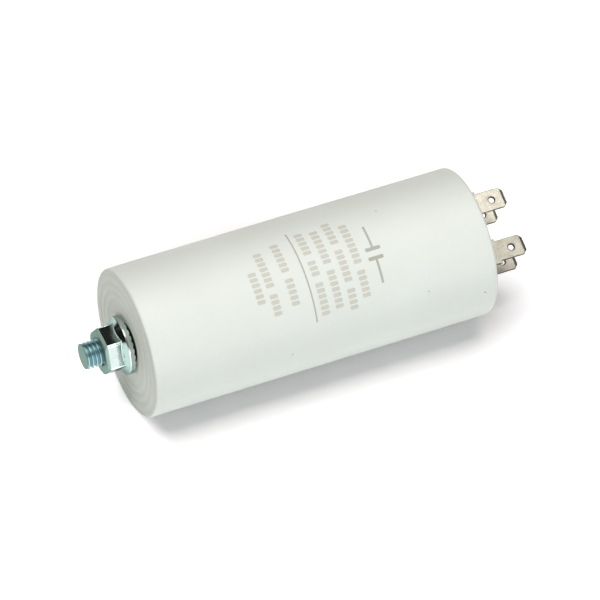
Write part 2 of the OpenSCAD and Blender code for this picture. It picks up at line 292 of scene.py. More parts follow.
def close_skin(bm):
    """Merges seams and poles and points the faces outwards."""
    bmesh.ops.remove_doubles(bm, verts=bm.verts, dist=SKIN_MERGE)
    bmesh.ops.dissolve_degenerate(bm, edges=bm.edges, dist=SKIN_MERGE / 10)
    bmesh.ops.recalc_face_normals(bm, faces=bm.faces)


def cut_across(bm, x, outwards=1, clear=False):
    """Cuts across the long axis, and may clear what lies past the cut."""
    geom = bm.verts[:] + bm.edges[:] + bm.faces[:]
    bmesh.ops.bisect_plane(
        bm, geom=geom, plane_co=(x, 0, 0), plane_no=(outwards, 0, 0), clear_outer=clear
    )


def bow(start, corner, end, steps=4):
    """Points on a smooth curve that rounds a corner between two lines."""
    shares = [i / steps for i in range(steps + 1)]
    sides = list(zip(start, corner, end))
    return [
        tuple((1 - t) ** 2 * a + 2 * t * (1 - t) * b + t**2 * c for a, b, c in sides)
        for t in shares
    ]


def sharp_edges(bm, degrees):
    """The edges where two faces meet at more than an angle."""
    limit = radians(degrees)
    return [e for e in bm.edges if len(e.link_faces) == 2 and e.calc_face_angle() > limit]


def make_object(name, bm, material):
    """Turns a bmesh into an object with one material."""
    mesh = bpy.data.meshes.new(name)
    bm.to_mesh(mesh)
    bm.free()
    mesh.materials.append(material)
    item = bpy.data.objects.new(name, mesh)
    bpy.context.scene.collection.objects.link(item)
    return item


def make_piece(name, bm, material, nodes=(), smooth=35):
    """Makes a piece that rides on the capacitor and stands for its nodes."""
    piece = make_object(name, bm, material)
    piece.data.shade_smooth()
    piece.data.set_sharp_from_angle(angle=radians(smooth))
    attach(piece, "root")
    if nodes:
        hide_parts(*nodes)
    # Wide faces keep their own direction, and only the narrow rounded ones blend
    normals = piece.modifiers.new("wide_faces", "WEIGHTED_NORMAL")
    normals.keep_sharp = True
    normals.mode = "FACE_AREA_WITH_ANGLE"


def terminal_frame(settings, side):
    """Carries a shape built on the lid along +Z to one of the two terminals."""
    turned = Matrix.Rotation(settings.turned, 4, "Z")
    return LYING @ turned @ Matrix.Translation((0, side * settings.offset, lid_high.x))


# Material helpers


def dimmed(tint, share):
    """A colour made darker or brighter."""
    return [share * part for part in tint]


class Nodes:
    """A node tree under construction, with short ways to add nodes and feed them."""

    def __init__(self, tree):
        self.tree = tree

    def feed(self, node, key, value):
        """Joins a socket to an input of a node, or sets that input to a value."""
        target = node.inputs[key]
        if isinstance(value, NodeSocket):
            self.tree.links.new(value, target)
        else:
            target.default_value = (*value, 1) if target.type == "RGBA" else value

    def add(self, kind, inputs=None, **settings):
        node = self.tree.nodes.new("ShaderNode" + kind)
        for key, value in settings.items():
            setattr(node, key, value)
        for key, value in (inputs or {}).items():
            self.feed(node, key, value)
        return node

    def blend(self, mask, first, second):
        return self.add("Mix", {0: mask, 6: first, 7: second}, data_type="RGBA").outputs[2]

    def mix(self, mask, first, second):
        return self.add("Mix", {0: mask, 2: first, 3: second}).outputs[0]

    def calculate(self, operation, first, second):
        return self.add("Math", {0: first, 1: second}, operation=operation).outputs[0]

    def distance(self, first, second):
        node = self.add("VectorMath", {0: first, 1: second}, operation="DISTANCE")
        return node.outputs["Value"]

    def spread(self, value, low, high, start=0.0, end=1.0, kind="LINEAR"):
        """Maps the values from start to end onto those from low to high."""
        ends = {"From Min": start, "From Max": end, "To Min": low, "To Max": high}
        node = self.add("MapRange", {"Value": value, **ends}, interpolation_type=kind)
        return node.outputs["Result"]


class Finish(Nodes):
    """A material under construction, which knows the place that is shaded."""

    def __init__(self, name):
        self.material = bpy.data.materials.new(name)
        self.material.use_nodes = True
        super().__init__(self.material.node_tree)
        self.shader = self.tree.nodes["Principled BSDF"]
        self.place = self.add("TexCoord").outputs["Object"]
        self.along = self.add("SeparateXYZ", {0: self.place}).outputs["X"]

    def pattern(self, name, **inputs):
        """The mask or height of a shared pattern."""
        node = self.add("Group", {"Place": self.place, **inputs}, node_tree=shared_group(name))
        return node.outputs[0]

    def attribute(self, name):
        return self.add("Attribute", attribute_name=name).outputs["Fac"]

    def past(self, limit):
        """One where the place along the axis is past a limit, and zero before it."""
        return self.calculate("GREATER_THAN", self.along, limit)

    def bump(self, height, depth, strength):
        """Presses a height into the surface."""
        node = self.add("Bump", {"Strength": strength, "Distance": depth, "Height": height})
        self.feed(self.shader, "Normal", node.outputs["Normal"])

    def done(self, tint, roughness, metallic=0.0, **others):
        """Feeds the surface and gives the material."""
        inputs = {"Base Color": tint, "Roughness": roughness, "Metallic": metallic}
        inputs.update((key.replace("_", " "), value) for key, value in others.items())
        for key, value in inputs.items():
            self.feed(self.shader, key, value)
        return self.material


def mottle(nodes, source):
    """Soft uneven patches from broad and fine noise."""
    noises = []
    for key in ("Broad", "Fine"):
        inputs = {"Vector": source["Place"], "Scale": source[key], "Detail": 3}
        noises.append(nodes.add("TexNoise", inputs).outputs[0])
    return nodes.spread(nodes.mix(source["Share"], *noises), 0, 1, 0.3, 0.7)


def grain(nodes, source):
    """Fine grain of a cast, rolled or plated surface, as a height."""
    shape = {key: source[key] for key in ("Scale", "Roughness")}
    return nodes.add("TexNoise", {"Vector": source["Place"], "Detail": 4, **shape}).outputs[0]


def speck(nodes, source):
    """One round mark at a point, full in its core and fading to its edge."""
    away = nodes.distance(source["Place"], source["Centre"])
    return nodes.spread(away, 1, 0, source["Core"], source["Across"], "SMOOTHSTEP")


# What draws each pattern, what it puts out and its inputs beside the place
PATTERNS = {
    "mottle": (mottle, "Mask", {"Broad": 60.0, "Fine": 900.0, "Share": 0.35}),
    "grain": (grain, "Height", {"Scale": 3000.0, "Roughness": 0.6}),
    "speck": (speck, "Mask", {"Core": 0.0, "Across": 0.3e-3, "Centre": (0, 0, 0)}),
}


def shared_group(name):
    """The node group of a pattern, made when it is first asked for."""
    tree = bpy.data.node_groups.get(name)
    if tree:
        return tree
    draw, result, inputs = PATTERNS[name]
    tree = bpy.data.node_groups.new(name, "ShaderNodeTree")
    for key, value in {"Place": (0, 0, 0), **inputs}.items():
        kind = "NodeSocketFloat" if isinstance(value, float) else "NodeSocketVector"
        socket = tree.interface.new_socket(key, in_out="INPUT", socket_type=kind)
        socket.default_value = value
    tree.interface.new_socket(result, in_out="OUTPUT", socket_type="NodeSocketFloat")
    source = tree.nodes.new("NodeGroupInput")
    target = tree.nodes.new("NodeGroupOutput")
    tree.links.new(draw(Nodes(tree), source.outputs), target.inputs[result])
    return tree


def white_plastic(name, c, specks=(), grimy=None, base=None):
    """Satin white plastic with an uneven cast, specks, a round of painted shade under the nut and a
    base with painted shade.
    """
    f = Finish(name)
    cast = f.pattern("mottle", Broad=45.0, Fine=700.0, Share=0.3)
    tint = f.blend(cast, c.plastic, c.plastic_shade)
    # Painted shade: the base face is painted darker, and darkest in the recessed field between the
    # seat rings
    if base:
        crest, field, edge = base
        deep = f.spread(f.along, 0.45, 1.0, crest, field)
        dull = f.blend(deep, tint, c.plastic_base)
        tint = f.blend(f.past(edge), dull, tint)
    for place, across in specks:
        mark = f.pattern("speck", Across=across, Centre=place)
        tint = f.blend(mark, tint, c.speck)
    # Painted shade: a dark round on the plastic in the gap under the nut
    if grimy:
        place, radius = grimy
        mark = f.pattern("speck", Core=0.93 * radius, Across=1.06 * radius, Centre=place)
        tint = f.blend(mark, tint, c.grime)
    f.bump(f.pattern("grain", Scale=1800.0, Roughness=0.5), depth=0.02e-3, strength=0.35)
    return f.done(tint, f.spread(cast, 0.5, 0.58), IOR=1.49, Specular_IOR_Level=0.35)


def zinc_plate(name, c, tints, roughness, dull_end, grey=None):
    """Zinc plate in two tints, with wear and painted highlights, a dull outer end and perhaps a
    grey stretch.
    """
    worn_rough, dull_rough = 0.36, 0.5
    f = Finish(name)
    patches = f.pattern("mottle", Broad=420.0, Fine=2600.0, Share=0.45)
    worn = f.attribute("worn")
    tint = f.blend(patches, *tints)
    if grey:
        start, uneven, end = grey
        border = f.spread(patches, start - uneven, start + uneven)
        away = f.calculate("SUBTRACT", f.along, border)
        foot = f.spread(away, 0.0, 1.0, -uneven / 2, uneven / 2)
        tint = f.blend(foot, tint, c.zinc_flange)
        tint = f.blend(f.past(end), tint, c.zinc_pale)
    # Rounded edges of the nut get pale zinc as a painted highlight, and the thread's crests as wear
    # and painted highlight
    tint = f.blend(worn, tint, c.zinc_worn)
    rough = f.spread(patches, roughness - 0.03, roughness + 0.05)
    rough = f.mix(worn, rough, worn_rough)
    inside = f.past(dull_end)
    tint = f.blend(inside, c.zinc_dull, tint)
    rough = f.mix(inside, dull_rough, rough)
    f.bump(f.pattern("grain", Scale=3200.0, Roughness=0.6), depth=0.02e-3, strength=0.3)
    return f.done(tint, rough, metallic=1.0, Specular_Tint=c.zinc_edge)


def tinned_strip(name, c, shade=1.0):
    """Tinned strip with a sandy grain, dark where it is cut and where shade is painted, and scaled
    whole by painted light and shade.
    """
    f = Finish(name)
    grains = f.pattern("mottle", Broad=500.0, Fine=3500.0, Share=0.7)
    # The shade scales the whole tin, as painted light and shade on one terminal against the other
    bright, dark = dimmed(c.tin, shade), dimmed(c.tin_dark, shade)
    tint = f.blend(grains, bright, dark)
    # Cut metal and painted shade on the sides, edges, holes and tip bevels
    tint = f.blend(f.attribute("cut"), tint, c.tin_cut)
    f.bump(f.pattern("grain", Scale=4200.0, Roughness=0.7), depth=0.04e-3, strength=0.6)
    return f.done(tint, f.spread(grains, 0.36, 0.5), metallic=1.0)


def printed_ink(name, ink, plastic):
    """Thin ink that lets some of the white plastic through."""
    cover = 0.75
    f = Finish(name)
    thin = f.pattern("mottle", Broad=300.0, Fine=3000.0, Share=0.6)
    paler = [cover * dark + (1 - cover) * white for dark, white in zip(ink, plastic)]
    return f.done(f.blend(thin, ink, paler), f.spread(thin, 0.5, 0.62))


def wound_film(name, c):
    """Film in many thin turns, seen as fine rings on its ends."""
    f = Finish(name)
    inputs = {"Vector": f.place, "Scale": 900, "Distortion": 1.5}
    wave = f.add("TexWave", inputs, wave_type="RINGS", rings_direction="X")
    turns = wave.outputs["Fac"]
    tint = f.blend(turns, c.film, dimmed(c.film, 0.7))
    f.bump(turns, depth=0.03e-3, strength=0.4)
    return f.done(tint, f.spread(turns, 0.25, 0.4), metallic=0.4)


def grained(name, base, shade, scale, rough, metallic, depth):
    """A plain coloured finish with patches and a grain of its own."""
    f = Finish(name)
    patches = f.pattern("mottle", Broad=scale / 8, Fine=scale, Share=0.5)
    tint = f.blend(patches, base, dimmed(base, shade))
    f.bump(f.pattern("grain", Scale=scale), depth, strength=0.6)
    return f.done(tint, f.spread(patches, rough - 0.06, rough + 0.06), metallic)


# Pieces


class CAPACITOR_OT_case(Operator):
    """Turns the case with its seat rings, rounded edges, hub and mouth"""

    bl_idname = "capacitor.case"
    bl_label = "Case"

    def execute(self, context):
        s = context.scene.capacitor_case
        stud = context.scene.capacitor_stud
        head_radius = stud.head_flats / sqrt(3)
        section = [
            (stud_high.x, 0), (stud_high.x, head_radius), (s.floor, head_radius),
            (s.floor, stud.radius), (s.field, stud.radius),
        ]
        first_ring = len(section)
        half = s.ring_crest / 2
        for i in range(s.rings):
            middle = s.ring_first + i * s.ring_pitch
            section += [
                (s.field, middle - half - s.ring_flank), (case_low.x, middle - half),
                (case_low.x, middle + half), (s.field, middle + half + s.ring_flank),
            ]
        outside = len(section)
        section += [
            (s.field, s.radius), (case_high.x, s.radius), (case_high.x, s.mouth),
            (lid_low.x, s.mouth), (lid_low.x, s.bore), (s.floor, s.bore),
            (s.floor, s.hub), (s.hub_top, s.hub), (s.hub_top, 0),
        ]
        bm = bmesh.new()
        verts = draw_line(bm, section)[0]
        base, mouth_outer, mouth_inner = verts[outside : outside + 3]
        soften(bm, verts[first_ring:outside], 0.4 * s.ring_crest, NARROW)
        soften(bm, [base], s.base_round, WIDE)
        soften(bm, [mouth_outer], s.mouth_round, WIDE)
        soften(bm, [mouth_inner], 0.25 * s.mouth_round, NARROW)
        spin_line(bm, s.facets, merge=True)
        close_skin(bm)
        # Place and reach of each speck
        specks = [
            ((0.1045, -0.02249, -0.0002), 0.40e-3),
            ((0.0867, -0.02164, 0.0061), 0.30e-3),
            ((0.0795, 0.0, 0.02249), 0.30e-3),
            ((0.0429, -0.02244, -0.0015), 0.32e-3),
        ]
        # Painted shade: the plastic in the gap under the flange of the nut is painted dark on one
        # side, where shade falls
        flange = context.scene.capacitor_nut.flange
        grimy = ((s.field, -0.27 * flange, 0.27 * flange), 0.68 * flange)
        # Painted shade on the base, darkest in the field between the rings and ending partway round
        # the rounded edge
        dull = (case_low.x, s.field, s.field + 0.3 * s.base_round)
        colours = context.scene.capacitor_colours
        material = white_plastic("satin_white_plastic", colours, specks, grimy, dull)
        make_piece("moulded_case", bm, material, ["case"])
        return {"FINISHED"}


class CAPACITOR_OT_print(Operator):
    """Lays a two-plate sign, a rule and lines of blocks where such a case is printed"""

    bl_idname = "capacitor.print"
    bl_label = "Print"

    def execute(self, context):
        s = context.scene.capacitor_print
        c = context.scene.capacitor_colours
        bm = bmesh.new()
        middle = s.top - s.sign / 2
        lead = 1.5 * s.sign
        for side in (-1, 1):
            self.lay_bar(bm, s, side * 1.3 * s.plate, middle, s.plate, s.sign)
            self.lay_bar(bm, s, side * (1.8 * s.plate + lead / 2), middle, lead, 1.6 * s.rule)
        self.lay_bar(bm, s, 0, s.top - s.rule_drop, s.width, s.rule)
        ink = printed_ink("grey_ink", c.ink, c.plastic)
        make_piece("print_sign", bm, ink)
        bm = bmesh.new()
        # Distance of each line from the top, its shift round the case, and the blocks in its groups
        lines = (
            (8.0e-3, 0.0, (5, 8)),
            (12.4e-3, 0.0, (4, 6, 5)),
            (16.8e-3, 0.0, (7, 7)),
            (21.3e-3, 0.0, (6, 3, 5)),
            (29.6e-3, 2.0e-3, (5, 6)),
            (35.5e-3, 0.6e-3, (4, 7)),
            (39.5e-3, 0.0, (6,)),
        )
        for down, shift, groups in lines:
            places = sum(groups) + len(groups) - 1
            girth = shift - s.pitch * (places - 1) / 2
            for blocks in groups:
                for _ in range(blocks):
                    self.lay_bar(bm, s, girth, s.top - down, s.block, s.line)
                    girth += s.pitch
                girth += s.pitch
        ink = printed_ink("faint_grey_ink", c.ink_faint, c.plastic)
        make_piece("print_lines", bm, ink)
        return {"FINISHED"}

    def lay_bar(self, bm, s, girth, x, wide, high):
        """Wraps one bar with rounded corners round the case."""
        slices = max(2, round(wide / s.slice))
        corner = min(0.3 * high, 0.3 * wide, s.corner)
        made = bmesh.ops.create_grid(bm, x_segments=1, y_segments=1, size=0.5)["verts"]
        bmesh.ops.scale(bm, verts=made, vec=(wide, high, 1))
        bmesh.ops.translate(bm, verts=made, vec=(girth, x, 0))
        verts = set(soften(bm, made, corner, NARROW)["verts"])
        verts |= {v for v in made if v.is_valid}
        faces = {f for v in verts for f in v.link_faces}
        geom = [*faces, *{e for f in faces for e in f.edges}, *verts]
        for i in range(1, slices):
            cut = (girth - wide / 2 + wide * i / slices, 0, 0)
            result = bmesh.ops.bisect_plane(bm, geom=geom, plane_co=cut, plane_no=(1, 0, 0))
            geom = result["geom"]
        for vert in set(only(BMVert, geom)):
            angle = s.middle - vert.co.x / s.ink
            vert.co = (vert.co.y, s.ink * cos(angle), s.ink * sin(angle))
        # The wrap turns the bar inside out
        bmesh.ops.reverse_faces(bm, faces=only(BMFace, geom))


class CAPACITOR_OT_stud(Operator):
    """Winds the thread of the stud, cuts it to length and adds the hidden head"""

    bl_idname = "capacitor.stud"
    bl_label = "Stud"

    # Wear and painted highlight of the crests, how steeply it fades to the root, and how fast they
    # rise at the tip
    WEAR, FADE, RISE = 0.5, 3, 2.2

    def execute(self, context):
        s = context.scene.capacitor_stud
        tip, seat = stud_low.x, 0.0
        root = s.radius - s.depth
        flank = (s.pitch - s.crest - s.root) / 2
        # The thread is wound past both ends and then cut
        start = tip - 1.5 * s.pitch
        turns = ceil((seat - start) / s.pitch) + 2
        rise = start + s.root / 2
        section = [
            (start, root), (rise, root),
            (rise + flank, s.radius), (rise + flank + s.crest, s.radius),
            (start + s.pitch - s.root / 2, root), (start + s.pitch, root),
        ]
        bm = bmesh.new()
        verts = draw_line(bm, section)[0]
        soften(bm, verts[1:5], s.corner, NARROW)
        bmesh.ops.subdivide_edges(bm, edges=bm.edges[:], cuts=1)
        spin_line(bm, s.facets, turns, s.pitch)
        bmesh.ops.remove_doubles(bm, verts=bm.verts, dist=THREAD_MERGE)
        cut_across(bm, tip, -1, clear=True)
        cut_across(bm, seat, clear=True)
        worn = bm.verts.layers.float.new("worn")
        # The crests are marked for wear and a painted highlight
        for vert in bm.verts:
            self.run_out(vert, s, tip, seat, root)
            up = (hypot(vert.co.y, vert.co.z) - root) / s.depth
            vert[worn] = self.WEAR * max(0.0, up) ** self.FADE
        ends = [e for e in bm.edges if e.is_boundary]
        outer = [e for e in ends if e.verts[0].co.x < (tip + seat) / 2]
        bmesh.ops.holes_fill(bm, edges=outer, sides=0)
        self.add_head(bm, s, [e for e in ends if e not in outer])
        bmesh.ops.recalc_face_normals(bm, faces=bm.faces)
        c = context.scene.capacitor_colours
        tints, roughness = (c.zinc_deep, c.zinc_blue), 0.42
        dull_end = tip + 0.02e-3
        material = zinc_plate("blue_zinc_thread", c, tints, roughness, dull_end)
        make_piece("threaded_stud", bm, material, ["mounting_stud"])
        return {"FINISHED"}

    def run_out(self, vert, s, tip, seat, root):
        """Fades the thread into a small cone at the flat end and into the shank at the seat."""
        across = Vector((0, vert.co.y, vert.co.z))
        radius = across.length
        along = (vert.co.x - tip) / s.tip_fade
        if along < 1:
            lowest = s.tip_radius + (root - s.tip_radius) * along
            highest = s.tip_radius + (s.radius - s.tip_radius) * min(1, along * self.RISE)
            radius = min(max(radius, lowest), highest)
        along = (seat - vert.co.x) / s.tip_fade
        if along < 1:
            radius = max(radius, s.radius + (root - s.radius) * along)
        vert.co = Vector((vert.co.x, 0, 0)) + across.normalized() * radius

    def add_head(self, bm, s, rim):
        """Carries the open end of the thread through the base and closes it with the head."""
        floor = bpy.context.scene.capacitor_case.floor
        shank = self.lengthen(bm, rim, floor)
        radius = s.head_flats / sqrt(3)
        angles = [radians(60 * i) for i in range(6)]
        corners = [(floor, radius * cos(a), radius * sin(a)) for a in angles]
        hexagon = draw_line(bm, corners, closed=True)[1]
        bmesh.ops.triangle_fill(bm, use_beauty=True, edges=shank + hexagon, normal=(1, 0, 0))
        bmesh.ops.holes_fill(bm, edges=self.lengthen(bm, hexagon, stud_high.x), sides=0)

    def lengthen(self, bm, loop, x):
        """Draws a loop out to a place along the axis and gives its new edges."""
        made = bmesh.ops.extrude_edge_only(bm, edges=loop)["geom"]
        for vert in only(BMVert, made):
            vert.co.x = x
        return only(BMEdge, made)


class CAPACITOR_OT_nut(Operator):
    """Draws the flange nut ring by ring: bore, chamfered hexagon, sloping flange and teeth"""

    bl_idname = "capacitor.nut"
    bl_label = "Flange nut"

    def execute(self, context):
        s = context.scene.capacitor_nut
        bm = bmesh.new()
        worn = bm.verts.layers.float.new("worn")
        sideways = Matrix.Rotation(s.corner_turn, 4, "X") @ LYING
        verts, first = draw_circle(bm, s.bore, s.teeth * s.steps, sideways)
        loop = first
        for step in range(len(self.section(s, 0))):
            if step:
                made = bmesh.ops.extrude_edge_only(bm, edges=loop)["geom"]
                verts, loop = only(BMVert, made), only(BMEdge, made)
            for vert in verts:
                angle = atan2(vert.co.z, vert.co.y)
                radius, up, vert[worn] = self.section(s, angle)[step]
                vert.co = (nut_high.x - up, radius * cos(angle), radius * sin(angle))
        bmesh.ops.bridge_loops(bm, edges=loop + first)
        close_skin(bm)
        c = context.scene.capacitor_colours
        tints, roughness = (c.zinc, c.zinc_pale), 0.08
        dull_end = nut_low.x + 0.97 * s.bevel_height
        # The flange is grey, and the foot of the flats unevenly so
        rim_top = nut_high.x - s.rim
        foot = rim_top - (s.flange - s.flats / 2) * tan(s.flange_slope)
        grey = (foot - s.grey_reach, s.grey_border, rim_top)
        material = zinc_plate("bright_zinc_nut", c, tints, roughness, dull_end, grey)
        make_piece("hex_flange_nut", bm, material, ["flange_nut"], smooth=16)
        return {"FINISHED"}

    def section(self, s, angle):
        """Half section at an angle round the axis, as radius, height over the teeth and painted
        highlight.
        """
        height = nut_high.x - nut_low.x
        flat = self.hexagon(s, angle, 0)
        face = self.hexagon(s, angle, s.bevel_depth)
        across, down = cos(s.flange_slope), sin(s.flange_slope)
        foot = s.rim + (s.flange - flat) * tan(s.flange_slope)
        # Where the slope that turns the corners off leaves the bevel
        lean = (flat - face) / s.bevel_height
        turned = max(0, face - s.flats / 2) / (1 / tan(s.chamfer_slope) - lean)
        fillet = bow(
            (flat, foot + s.fillet),
            (flat, foot),
            (flat + s.fillet * across, foot - s.fillet * down),
        )
        edge = bow(
            (s.flange - s.edge * across, s.rim + s.edge * down),
            (s.flange, s.rim),
            (s.flange, s.rim - s.edge),
        )
        tooth = self.tooth(s, angle)
        return [
            (s.bore + s.sink, 0, 0), (s.bore, s.sink, 0),
            (s.bore, height - s.sink, 0), (s.bore + s.sink, height, 0),
            (min(face, s.flats / 2), height, 0),
            (face + lean * turned, height - turned, 0),
            (flat, height - s.bevel_height, 0),
            # The upper side of the fillet and the rim's edge get a painted highlight
            *self.wear(angle, fillet, fade=4),
            *self.wear(angle, edge, fade=1),
            (s.flange, 1.3 * s.notch_depth, 0), (s.flange, tooth, 0),
            (s.tooth_ring, tooth, 0), (s.tooth_ring, 0, 0),
        ]

    def wear(self, angle, points, fade):
        """Paints a highlight on a rounded edge between its ends, mostly on its upper side, where
        light falls.
        """
        share = max(0.0, sin(angle)) ** fade
        last = len(points) - 1
        return [(*point, share if 0 < i < last else 0.0) for i, point in enumerate(points)]

    def hexagon(self, s, angle, inset):
        """Radius of the hexagon, with rounded corners, at an angle round the axis."""
        sector = radians(60)
        half = s.flats / 2 - inset
        from_corner = (angle - s.corner_turn + sector / 2) % sector - sector / 2
        straight = half / cos(abs(from_corner) - sector / 2)
        centre = (half - s.corner_round) / cos(sector / 2)
        room = s.corner_round**2 - (centre * sin(from_corner)) ** 2
        if room <= 0:
            return straight
        return min(straight, centre * cos(from_corner) + sqrt(room))

    def tooth(self, s, angle):
        """Height of the underside at an angle: ramps up in each notch and drops at its end."""
        pitch = 2 * pi / s.teeth
        along = ((angle % pitch) * s.flange) / s.notch
        return s.notch_depth * along if along < 1 else 0.0


class CAPACITOR_OT_terminals(Operator):
    """Punches a flat blank with its holes and folds it up into each terminal"""

    bl_idname = "capacitor.terminals"
    bl_label = "Terminals"

    # How much dark each kind of face shows: cut metal, and painted shade in the hole, on its ring,
    # the sides, the rounded edges and the tip bevels
    HOLE_CUT, RING_CUT, SIDE_CUT, EDGE_CUT, TIP_CUT = 1.0, 0.7, 0.85, 0.9, 0.52

    def execute(self, context):
        s = context.scene.capacitor_terminals
        # Painted light and shade: the upper terminal, a, gets a brighter copy of the tin and the
        # lower one, b, a darker copy
        for side, name, node, shade in (
            (1, "folded_terminal_a", "terminal_a", 1.06),
            (-1, "folded_terminal_b", "terminal_b", 0.81),
        ):
            bm = bmesh.new()
            self.punch(bm, s)
            self.fold(bm, s)
            bmesh.ops.recalc_face_normals(bm, faces=bm.faces)
            cut = bm.faces.layers.float["cut"]
            sharp = sharp_edges(bm, degrees=60)
            for face in soften(bm, sharp, s.edge, segments=2, affect="EDGES")["faces"]:
                face[cut] = self.EDGE_CUT
            bmesh.ops.transform(bm, matrix=terminal_frame(s, side), verts=bm.verts)
            material = tinned_strip("tinned_" + node, context.scene.capacitor_colours, shade)
            make_piece(name, bm, material, [node], smooth=11)
        return {"FINISHED"}

    def stations(self, s):
        """Distances along the blank: start and end of a bend, shoulder, hole and tip."""
        flat = s.spacing / 2 + s.thickness / 2 - s.bend - s.thickness
        bend_end = flat + pi / 2 * (s.bend + s.thickness / 2)
        tip = bend_end + blade_high - lid_high.x - s.bend - s.thickness
        return flat, bend_end, tip - s.blade_length, tip - s.hole_from_tip, tip

    def punch(self, bm, s):
        """Makes the flat blank, with rows of edges where it bends."""
        flat, bend_end, shoulder, hole, tip = self.stations(s)
        blade = s.blade / 2
        right = [
            (shoulder, s.strip / 2), (shoulder, blade),
            (tip - s.corner, blade), (tip, blade - s.corner),
        ]
        outline = right + [(x, -y) for x, y in reversed(right)]
        outline += [(-x, -y) for x, y in right]
        outline += [(-x, y) for x, y in reversed(right)]
        draw_line(bm, outline, closed=True)
        round_hole = s.hole + s.hole_sink + s.hole_ring
        loops = []
        for x, radius in ((0, s.rivet), (hole, round_hole), (-hole, round_hole)):
            place = Matrix.Translation((x, 0, 0))
            loops.append(draw_circle(bm, radius, HOLE_FACETS, place)[1])
        bmesh.ops.triangle_fill(bm, use_beauty=True, edges=bm.edges[:], normal=(0, 0, 1))
        bmesh.ops.dissolve_limit(bm, angle_limit=0.01, verts=[], edges=bm.edges[:])
        # A narrow ring is left between the wide face and each hole
        shrink = (s.hole / round_hole, s.hole / round_hole, 1)
        for x, loop in zip((hole, -hole), loops[1:]):
            inner = only(BMVert, bmesh.ops.extrude_edge_only(bm, edges=loop)["geom"])
            centred = Matrix.Translation((-x, 0, 0))
            bmesh.ops.scale(bm, vec=shrink, space=centred, verts=inner)
        top = only(BMVert, bmesh.ops.extrude_face_region(bm, geom=bm.faces[:])["geom"])
        bmesh.ops.translate(bm, verts=top, vec=(0, 0, s.thickness))
        bmesh.ops.recalc_face_normals(bm, faces=bm.faces)
        walls = [e for e in bm.edges if all(self.on_hole(s, v, hole) for v in e.verts)]
        rims = [e for e in walls if e.verts[0].co.z == e.verts[1].co.z]
        soften(bm, rims, s.hole_sink, segments=1, affect="EDGES")
        cut = bm.faces.layers.float.new("cut")
        bm.normal_update()
        # The hole, the ring round it and the sides get painted shade along with the dark of cut
        # metal
        for face in bm.faces:
            flat_on = abs(face.normal.z) > 0.9
            middle = face.calc_center_median()
            near_hole = hypot(abs(middle.x) - hole, middle.y) < round_hole
            if near_hole and len(face.verts) == 4:
                face[cut] = self.RING_CUT if flat_on else self.HOLE_CUT
            elif not flat_on:
                face[cut] = self.SIDE_CUT
        bends = [flat + (bend_end - flat) * i / s.bend_steps for i in range(s.bend_steps + 1)]
        for x in bends + [tip - s.bevel_length]:
            cut_across(bm, -x)
            cut_across(bm, x)
        bmesh.ops.remove_doubles(bm, verts=bm.verts, dist=SKIN_MERGE)
        # Painted shade on the tip bevels
        for face in bm.faces:
            if abs(face.calc_center_median().x) > tip - s.bevel_length:
                face[cut] = max(face[cut], self.TIP_CUT)

    def on_hole(self, s, vert, hole):
        """Tells whether a vertex lies on the wall of a hole in a blade."""
        return abs(hypot(abs(vert.co.x) - hole, vert.co.y) - s.hole) < 0.01 * s.hole

    def fold(self, bm, s):
        """Bevels the tips and bends both ends of the blank up."""
        flat, bend_end, _, _, tip = self.stations(s)
        middle = s.thickness / 2
        for vert in bm.verts:
            sign = 1 if vert.co.x >= 0 else -1
            along, up = abs(vert.co.x), vert.co.z
            if along > tip - s.bevel_length:
                share = (along - tip + s.bevel_length) / s.bevel_length
                up = middle + (up - middle) * (1 - share * 2 * s.bevel_depth / s.thickness)
            reach = s.bend + s.thickness - up
            if along > flat:
                angle = min(1, (along - flat) / (bend_end - flat)) * pi / 2
                rise = max(0, along - bend_end)
                vert.co.x = sign * (flat + reach * sin(angle))
                vert.co.z = s.bend + s.thickness - reach * cos(angle) + rise
            else:
                vert.co.z = up


class CAPACITOR_OT_rivets(Operator):
    """Turns the two rivets that hold the terminals on the lid"""

    bl_idname = "capacitor.rivets"
    bl_label = "Rivets"

    def execute(self, context):
        s = context.scene.capacitor_terminals
        material = tinned_strip("tinned_rivet", context.scene.capacitor_colours)
        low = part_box("rivet_a")[0].x - lid_high.x
        under = lid_low.x - lid_high.x
        taper = s.rivet_height / 2
        top = s.thickness + s.rivet_height
        section = [
            (low, 0), (low, s.rivet), (low + taper, s.rivet_head),
            (under, s.rivet_head), (under, s.rivet), (s.thickness, s.rivet),
            (s.thickness, s.rivet_head), (s.thickness + taper, s.rivet_head),
            (top, s.rivet), (top, 0),
        ]
        upright = LYING.inverted()
        for side, name, node in (
            (1, "turned_rivet_a", "rivet_a"),
            (-1, "turned_rivet_b", "rivet_b"),
        ):
            bm = bmesh.new()
            verts = draw_line(bm, section)[0]
            outer = [verts[i] for i in (1, 2, 7, 8)]
            soften(bm, outer, 0.3 * taper, NARROW)
            spin_line(bm, RIVET_FACETS, merge=True)
            close_skin(bm)
            bmesh.ops.transform(bm, matrix=terminal_frame(s, side) @ upright, verts=bm.verts)
            make_piece(name, bm, material, [node])
        return {"FINISHED"}


